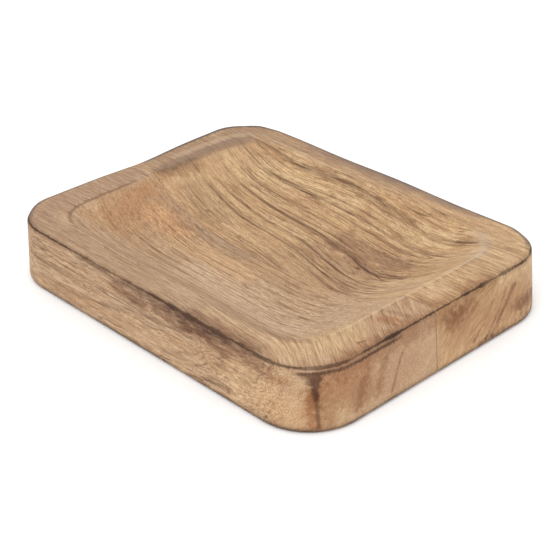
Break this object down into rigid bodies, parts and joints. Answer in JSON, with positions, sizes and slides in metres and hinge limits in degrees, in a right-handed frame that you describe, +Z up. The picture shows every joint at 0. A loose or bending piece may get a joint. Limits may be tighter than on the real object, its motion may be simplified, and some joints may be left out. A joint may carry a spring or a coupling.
{
  "type": "coin tray",
  "caption": "Shallow rectangular wooden coin tray with rounded corners: a smooth dish carved into a block glued up from boards, with a flat rim and softened edges.",
  "frame": {"origin": "middle of the flat underside, on the surface that the tray rests on", "axes": "+X along the tray's length and the wood's grain, +Y across the boards from the front board to the back board, +Z up out of the dish"},
  "size_m": [0.1318, 0.1004, 0.0196],
  "materials": {
    "wood_front": "sanded and oiled, matt",
    "dried_glue": "dried, sanded flush",
    "wood_back": "sanded and oiled, matt"
  },
  "bodies": {
    "root": {"board_front": "wood_front", "glue_line": "dried_glue", "board_back": "wood_back"}
  },
  "joints": []
}
